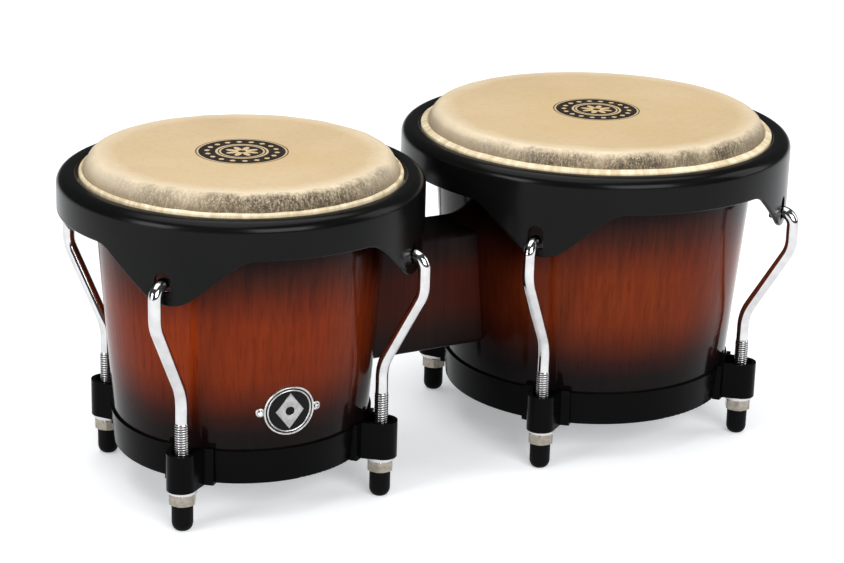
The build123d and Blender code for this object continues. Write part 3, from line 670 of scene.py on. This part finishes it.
def thread_rings(drum, number, foot_z, thread_top, sides):
    """Rings up the helical thread, which leads in at the foot and runs out into the shank."""
    foot, out, across, _ = rod_axes(drum, number)
    rows = round((thread_top - foot_z) / THREAD_PITCH * THREAD_ROWS_PER_TURN)
    rings = []
    for i in range(rows):
        z = foot_z + (thread_top - foot_z) * i / rows
        run_out = min(1.0, (rows - i) / THREAD_ROWS_PER_TURN / 1.5)
        lead_in = min(1.0, (i + 1) / THREAD_ROWS_PER_TURN)
        ring = []
        for k in range(sides):
            phase = (z / THREAD_PITCH - k / sides) % 1.0
            groove = max(0.0, 1 - abs(phase - 0.5) * 3.0)
            radius = (THREAD_RADIUS - THREAD_DEPTH * groove) * (0.85 + 0.15 * lead_in)
            radius = SHANK_RADIUS + (radius - SHANK_RADIUS) * run_out
            turn = TAU * k / sides
            ring.append(foot + radius * (math.cos(turn) * out + math.sin(turn) * across) + Vector((0, 0, z)))
        rings.append(ring)
    return rings


def make_rod(drum, number, material, grime_and_shade_material):
    """A rod with a rolled thread below, a cranked shank and a hook above; its second material is grime and painted
    shade in the thread's grooves, and painted shade on the hook's end behind the rim.
    """
    node = f"{drum.name}_tuning_rod_{number}"
    foot, out, _, upper = rod_axes(drum, number)
    foot_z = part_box(node)[0].z
    thread_top = drum.hook_z - THREAD_TOP_BELOW_HOOK
    shank = shank_rings(drum, number, thread_top)
    sides = len(shank[0])
    bottom = [foot + Vector((0, 0, foot_z))] * sides
    rings = [bottom] + thread_rings(drum, number, foot_z, thread_top, sides) + shank
    points, faces = grid(rings, close_rows=False, close_columns=True)
    rod = mesh_object(f"{drum.name}_hooked_rod_{number}", points, faces, material, sharp=60)

    # The second material darkens the thread's grooves, as grime and painted shade, and the hook's end behind the rim,
    # as painted shade.
    rod.data.materials.append(grime_and_shade_material)
    for face in rod.data.polygons:
        from_foot, z = face.center - foot, face.center.z
        on_thread = foot_z + 1 * MM < z < thread_top
        in_groove = on_thread and from_foot.xy.length < THREAD_RADIUS - 0.6 * THREAD_DEPTH
        painted_shade_behind_rim = z > drum.hook_z - 6 * MM and from_foot.dot(out) < upper - 7.6 * MM
        if in_groove or painted_shade_behind_rim:
            face.material_index = 1
    install(rod, drum.tuner, [node])


NUT_HALF = 12.7 / 2 * MM
NUT_BORE = 3.62 * MM
NUT_FACE = 0.96  # share of the half width that stays flat on both faces


def make_nut(drum, number, material):
    """A hexagonal nut whose corners are turned down at both faces."""
    node = f"{drum.name}_tuning_nut_{number}"
    low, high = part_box(node)
    centre = drum.lug(number)
    half, bore = NUT_HALF, NUT_BORE
    corner = half / math.cos(math.radians(30)) - 0.22 * MM
    rows = []
    count = 144
    for i in range(count):
        a = TAU * i / count
        flat = half / math.cos(a % (math.pi / 3) - math.pi / 6)
        reach = min(flat, corner)
        fall = max(0.0, reach - half * 0.985) * math.tan(math.radians(30)) + 0.05 * MM
        outline = [
            (bore, low.z + 0.45 * MM),
            (bore + 0.45 * MM, low.z),
            (half * NUT_FACE, low.z),
            (reach - 0.12 * MM, low.z + fall * 0.8),
            (reach, low.z + fall + 0.12 * MM),
            (reach, high.z - fall - 0.12 * MM),
            (reach - 0.12 * MM, high.z - fall * 0.8),
            (half * NUT_FACE, high.z),
            (bore + 0.45 * MM, high.z),
            (bore, high.z - 0.45 * MM),
        ]
        rows.append([(centre.x + r * math.cos(a), centre.y + r * math.sin(a), z) for r, z in outline])
    points, faces = grid(rows, close_columns=True)
    nut = mesh_object(f"{drum.name}_hex_nut_{number}", points, faces, material, sharp=24)
    install(nut, f"{drum.name}_nut_{number}", [node])


TIP_DOME = 4.4 * MM
TIP_FLAT = 2.0 * MM  # radius of the small flat it stands on
TIP_BORE = 3.59 * MM


def make_tip(drum, number, material):
    """A moulded cap: domed foot with a small flat, straight side and a rounded mouth."""
    node = f"{drum.name}_rubber_tip_{number}"
    low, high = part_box(node)
    radius, floor_z = drum.tip_radius, low.z + 3 * MM
    outline = [(0.0, low.z), (TIP_FLAT, low.z)]
    for step in range(1, 13):
        a = math.radians(90 * step / 12)
        outline.append((TIP_FLAT + (radius - TIP_FLAT) * math.sin(a), low.z + TIP_DOME * (1 - math.cos(a))))
    outline += rounded(
        [(radius, low.z + TIP_DOME), (radius, high.z), (TIP_BORE, high.z), (TIP_BORE, floor_z)],
        [0, 0.5 * MM, 0.3 * MM, 0],
        steps=4,
    )[1:]
    outline.append((0.0, floor_z))
    centre = drum.lug(number)
    tip = lathe(f"{drum.name}_rod_foot_{number}", outline, (centre.x, centre.y), material, segments=64)
    install(tip, drum.tuner, [node])


# ---------------------------------------------------------------- badge

BADGE_ANGLE = math.radians(-94.6)
BADGE_EAR_REACH = 14.6 * MM


def on_shell(u, v, height):
    """The point u sideways and v up from the badge's centre, standing height off the macho's shell."""
    z = BADGE_Z + v
    radius = macho.shell_radius(z)
    a = BADGE_ANGLE + u / radius
    return Vector((macho.x + (radius + height) * math.cos(a), (radius + height) * math.sin(a), z))


def disc_rows(profile, u=0.0, count=96):
    """Rows for a turned disc on the shell: profile is (radius in mm, height in mm)."""
    rows = []
    for i in range(count):
        a = TAU * i / count
        rows.append([on_shell(u + r * MM * math.cos(a), r * MM * math.sin(a), h * MM) for r, h in profile])
    return rows


def lozenge_rows():
    """Rows round a plain lozenge with a round hole."""
    half_width, half_height, hole = 7.2 * MM, 9.6 * MM, 2.3 * MM
    corners = [Vector(c) for c in ((half_width, 0), (0, half_height), (-half_width, 0), (0, -half_height))]
    per_side = 14
    rows = []
    for i in range(4 * per_side):
        edge = corners[i // per_side].lerp(corners[(i // per_side + 1) % 4], i % per_side / per_side)
        inside = edge.normalized() * hole
        steps = [(edge, 1.2), (edge, 1.75), (edge.lerp(inside, 0.08), 1.95), (inside.lerp(edge, 0.08), 1.95)]
        steps += [(inside, 1.8), (inside, 1.2)]
        rows.append([on_shell(p.x, p.y, h * MM) for p, h in steps])
    return rows


def make_badge(plate_material, lozenge_material, enamel_material):
    """Two thin rings with an ear each side, and a plain pierced lozenge standing on a black field."""
    outer_ring = [
        (11.9, 0.06), (13.1, 0.06), (13.1, 1.45), (12.95, 1.8), (12.65, 1.98), (12.25, 1.9), (12.0, 1.6), (11.9, 1.0),
    ]
    inner_ring = [(10.5, 0.8), (11.35, 0.8), (11.35, 1.5), (11.2, 1.75), (10.95, 1.85), (10.7, 1.75), (10.5, 1.45)]
    ear = [(0.0, 0.06), (2.2, 0.06), (2.3, 0.2), (2.3, 0.95), (2.1, 1.15), (1.8, 1.2), (0.0, 1.2)]
    parts = [(disc_rows(ring, count=144), True) for ring in (outer_ring, inner_ring)]
    parts += [(disc_rows(ear, u=side * BADGE_EAR_REACH, count=40), False) for side in (-1, 1)]
    parts.append((lozenge_rows(), True))

    points, faces = [], []
    for rows, closed in parts:
        more, quads = grid(rows, close_columns=closed, first=len(points))
        points += more
        faces += quads
    plate = mesh_object("badge_rings_and_lozenge", points, faces, plate_material, sharp=40)
    plate.data.materials.append(lozenge_material)
    lozenge_faces = len(quads)  # the lozenge came last
    for face in plate.data.polygons[-lozenge_faces:]:
        face.material_index = 1
    install(plate, FIXED, ["badge_plate"])

    field_profile = [(0.0, 1.22), (10.3, 1.22), (11.95, 1.22), (11.95, 1.35), (10.3, 1.4), (0.0, 1.45)]
    points, faces = grid(disc_rows(field_profile))
    field = mesh_object("badge_field", points, faces, enamel_material)
    install(field, FIXED, ["badge_enamel"])


# ---------------------------------------------------------------- rims

EAR_SLOPE = math.radians(39)
EAR_TIP_ROUND = 20 * MM
EAR_BASE_ROUND = 15 * MM
SKIRT_ABOVE_TIP = 24.3 * MM
LIP_ABOVE_TIP = 35.2 * MM
FACE_DEPTH = 4 * MM  # the plain face that goes all the way round, above the skirt
SHEET = 2.2 * MM
RIM_DEPTH = 9.6 * MM
EDGE_ROUND = 0.9 * MM


def skirt_foot(sideways):
    """Height of the skirt's lower edge above the ear's tip, at a distance sideways from the ear's middle."""
    u = abs(sideways)
    tip_end = EAR_TIP_ROUND * math.sin(EAR_SLOPE)
    tip_rise = EAR_TIP_ROUND * (1 - math.cos(EAR_SLOPE))
    base_rise = EAR_BASE_ROUND * (1 - math.cos(EAR_SLOPE))
    straight = (SKIRT_ABOVE_TIP - tip_rise - base_rise) / math.tan(EAR_SLOPE)
    base_start = tip_end + straight
    base_end = base_start + EAR_BASE_ROUND * math.sin(EAR_SLOPE)
    if u < tip_end:
        return EAR_TIP_ROUND - math.sqrt(EAR_TIP_ROUND**2 - u**2)
    if u < base_start:
        return tip_rise + (u - tip_end) * math.tan(EAR_SLOPE)
    if u < base_end:
        return SKIRT_ABOVE_TIP - EAR_BASE_ROUND + math.sqrt(EAR_BASE_ROUND**2 - (base_end - u)**2)
    return SKIRT_ABOVE_TIP


def slot_cutter(drum, number):
    """A round-topped peg that cuts the rod's slot through one ear, where its hook passes."""
    crank = drum.crank(number)
    crossing = drum.lug(number) + crank - crank.normalized() * (HOOK_MARGIN + 1.1 * MM)
    a = math.atan2(crossing.y, crossing.x - drum.x)
    out, across = Vector((math.cos(a), math.sin(a), 0)), Vector((-math.sin(a), math.cos(a), 0))
    half = 4.2 * MM
    foot, top = drum.hook_z - 3.9 * MM, drum.ear_tip_z + 16.5 * MM
    outline = rounded(
        [(-half, foot), (half, foot), (half, top), (-half, top)],
        [1.2 * MM, 1.2 * MM, 4.19 * MM, 4.19 * MM],
        steps=10,
        closed=True,
    )
    rows = []
    for reach in (drum.rim_radius - 8 * MM, drum.rim_radius + 6 * MM):
        rows.append([Vector((drum.x, 0, 0)) + out * reach + across * u + Vector((0, 0, z)) for u, z in outline])
    points, faces = grid(rows, close_rows=False, close_columns=True)
    count = len(outline)
    faces += [tuple(range(count)), tuple(range(2 * count - 1, count - 1, -1))]
    return points, faces


def rolled_top(drum):
    """The rim's outline from its inner lip over the top to its face, and from its back under the top to the lip."""
    outer, top, tip = drum.rim_radius, drum.rim_top_z, drum.ear_tip_z
    inner = outer - RIM_DEPTH
    lip, face = tip + LIP_ABOVE_TIP, tip + SKIRT_ABOVE_TIP + FACE_DEPTH
    over = rounded(
        [(inner, lip), (inner, top), (outer, top), (outer, face)],
        [0, 1.0 * MM, 5.5 * MM, 0],
        steps=9,
    )
    under = rounded(
        [(outer - SHEET, face), (outer - SHEET, top - SHEET), (inner + SHEET, top - SHEET), (inner + SHEET, lip)],
        [0, 3.3 * MM, 0.8 * MM, 0],
        steps=5,
    )
    return over, under


def skirt(drum, a):
    """The outline down the skirt's face, round its edge and up its back, at the angle a round the drum."""
    outer, tip = drum.rim_radius, drum.ear_tip_z
    nearest = min(LUG_ANGLES, key=lambda lug: abs(math.remainder(a - math.radians(lug), TAU)))
    off = math.remainder(a - math.radians(nearest), TAU)
    foot = tip + skirt_foot(outer * math.sin(off)) + EDGE_ROUND
    start = tip + SKIRT_ABOVE_TIP + FACE_DEPTH
    steps = 10
    outline = [Vector((outer, start + (foot - start) * k / steps)) for k in range(1, steps + 1)]
    for k in range(1, 8):
        turn = math.pi * k / 8
        outline.append(Vector((outer - SHEET / 2 + SHEET / 2 * math.cos(turn), foot - EDGE_ROUND * math.sin(turn))))
    return outline + [Vector((outer - SHEET, foot + (start - foot) * k / steps)) for k in range(steps)]


def cut_slots(drum, rim, material):
    """Cuts the four rods' slots through the rim, for good."""
    points, faces = [], []
    for number in range(1, 5):
        more, peg_faces = slot_cutter(drum, number)
        faces += [tuple(k + len(points) for k in face) for face in peg_faces]
        points += more
    pegs = mesh_object(f"{drum.name}_slot_pegs", points, faces, material)
    cut = rim.modifiers.new("slots", "BOOLEAN")
    cut.operation = "DIFFERENCE"
    cut.solver = "EXACT"
    cut.object = pegs
    bpy.context.view_layer.update()
    rim_with_slots = rim.evaluated_get(bpy.context.evaluated_depsgraph_get())
    done = bpy.data.meshes.new_from_object(rim_with_slots)
    rim.modifiers.clear()
    rim.data = done
    bpy.data.objects.remove(pegs)


def make_rim(drum, material):
    """Rolled sheet: inner lip, broad round top and a skirt that hangs in four slotted ears."""
    over, under = rolled_top(drum)
    count = 768
    rows = []
    for i in range(count):
        a = TAU * i / count
        c, s = math.cos(a), math.sin(a)
        rows.append([(drum.x + r * c, r * s, z) for r, z in over + skirt(drum, a) + under])
    points, faces = grid(rows, close_columns=True)
    rim = mesh_object(f"{drum.name}_rolled_rim", points, faces, material, sharp=40)
    cut_slots(drum, rim, material)
    rim.data.shade_smooth()
    rim.data.set_sharp_from_angle(angle=math.radians(40))
    install(rim, drum.tuner, [f"{drum.name}_rim"])


# ---------------------------------------------------------------- everything in place

for drum in drums:
    name = drum.name
    make_skin(drum)
    make_rim(drum, black)
    for number in range(1, 5):
        make_rod(drum, number, bright, grime_and_shade_metal)
        make_nut(drum, number, warm_nickel)
        make_tip(drum, number, tip_rubber)
        paint_node(f"{name}_lug_bracket_{number}", black_coat_painted_shade, bevel=0.5 * MM)
    paint_node(f"{name}_shell", shell_woods[name])
    paint_node(f"{name}_bottom_ring", black_coat_painted_shade, bevel=0.3 * MM)
    paint_node(f"{name}_lug_washers", bright, bevel=0.3 * MM)
    paint_node(f"{name}_flesh_hoop", plain_zinc, bevel=0.5 * MM)
    paint_node(f"{name}_bolt_saddle", plain_zinc, bevel=0.5 * MM)
paint_node("centre_block", block_wood())
for node in ("block_bolt_upper", "block_bolt_lower", "block_bolt_washers", "block_bolt_nuts"):
    paint_node(node, plain_zinc, bevel=0.3 * MM)
paint_node("badge_screws", bright)
make_badge(
    satin_chrome("badge_satin_chrome", (0.44, 0.43, 0.42), (0.60, 0.59, 0.58)),
    satin_chrome("lozenge_satin_chrome", (0.30, 0.295, 0.29), (0.42, 0.415, 0.41)),
    badge_black,
)


# ---------------------------------------------------------------- floor, light and camera

def make_floor():
    """A pale floor that glows a little, so that the shadows on it stay light."""
    paint = Paint("floor_white", roughness=0.8, specular=0.1)
    cloud = paint.noise(3, detail=2)
    paint.colour(paint.ramp(cloud, [(0.3, (0.84, 0.85, 0.86)), (0.7, (0.86, 0.87, 0.88))]))
    paint.shader.inputs["Emission Color"].default_value = (0.955, 0.975, 1.0, 1)
    paint.shader.inputs["Emission Strength"].default_value = 0.37
    reach = 6.0
    corners = [(-reach, -reach, 0), (reach, -reach, 0), (reach, reach, 0), (-reach, reach, 0)]
    floor = mesh_object("floor", corners, [(0, 1, 2, 3)], paint.material)
    floor.visible_diffuse = False


def softbox(name, place, target, size, watts):
    light = bpy.data.lights.new(name, "AREA")
    light.shape = "RECTANGLE"
    light.size, light.size_y = size
    light.energy = watts
    made = bpy.data.objects.new(name, light)
    made.location = place
    made.rotation_euler = (Vector(target) - Vector(place)).to_track_quat("-Z", "Y").to_euler()
    bpy.context.scene.collection.objects.link(made)


def make_lights():
    world = bpy.data.worlds.new("studio")
    world.use_nodes = True
    sky = world.node_tree.nodes["Background"]
    sky.inputs["Color"].default_value = (0.95, 0.97, 1.0, 1)
    sky.inputs["Strength"].default_value = 0.08
    bpy.context.scene.world = world
    middle = (0, 0, 0.1)
    softbox("top_light", (-0.1, 0.2, 1.9), middle, (2.4, 1.8), 34)
    softbox("left_light", (-1.9, -0.35, 0.65), middle, (0.8, 0.9), 20)
    softbox("right_light", (1.7, -0.6, 0.9), middle, (0.9, 1.4), 10)
    softbox("front_light", (-0.1, -2.2, 1.1), middle, (1.5, 1.2), 43)


CAMERA_PLACE = (-0.59701, -1.05716, 0.50156)
CAMERA_AZIMUTH = math.radians(-29.193)
CAMERA_ELEVATION = math.radians(18.739)
CAMERA_ROLL = math.radians(1.55)


def make_camera():
    lens = bpy.data.cameras.new("camera")
    lens.lens = 102.4
    lens.sensor_width = 36
    lens.sensor_fit = "HORIZONTAL"
    lens.dof.use_dof = False
    lens.clip_start = 0.05
    camera = bpy.data.objects.new("camera", lens)
    back = Vector((
        math.sin(CAMERA_AZIMUTH) * math.cos(CAMERA_ELEVATION),
        -math.cos(CAMERA_AZIMUTH) * math.cos(CAMERA_ELEVATION),
        math.sin(CAMERA_ELEVATION),
    ))
    level_right = (-back).cross(Vector((0, 0, 1))).normalized()
    level_up = level_right.cross(-back)
    right = math.cos(CAMERA_ROLL) * level_right + math.sin(CAMERA_ROLL) * level_up
    up = -math.sin(CAMERA_ROLL) * level_right + math.cos(CAMERA_ROLL) * level_up
    turn = Matrix((right, up, back)).transposed()
    camera.matrix_world = Matrix.Translation(CAMERA_PLACE) @ turn.to_4x4()
    bpy.context.scene.collection.objects.link(camera)
    bpy.context.scene.camera = camera


make_floor()
make_lights()
make_camera()
bpy.context.scene.view_settings.view_transform = "Standard"
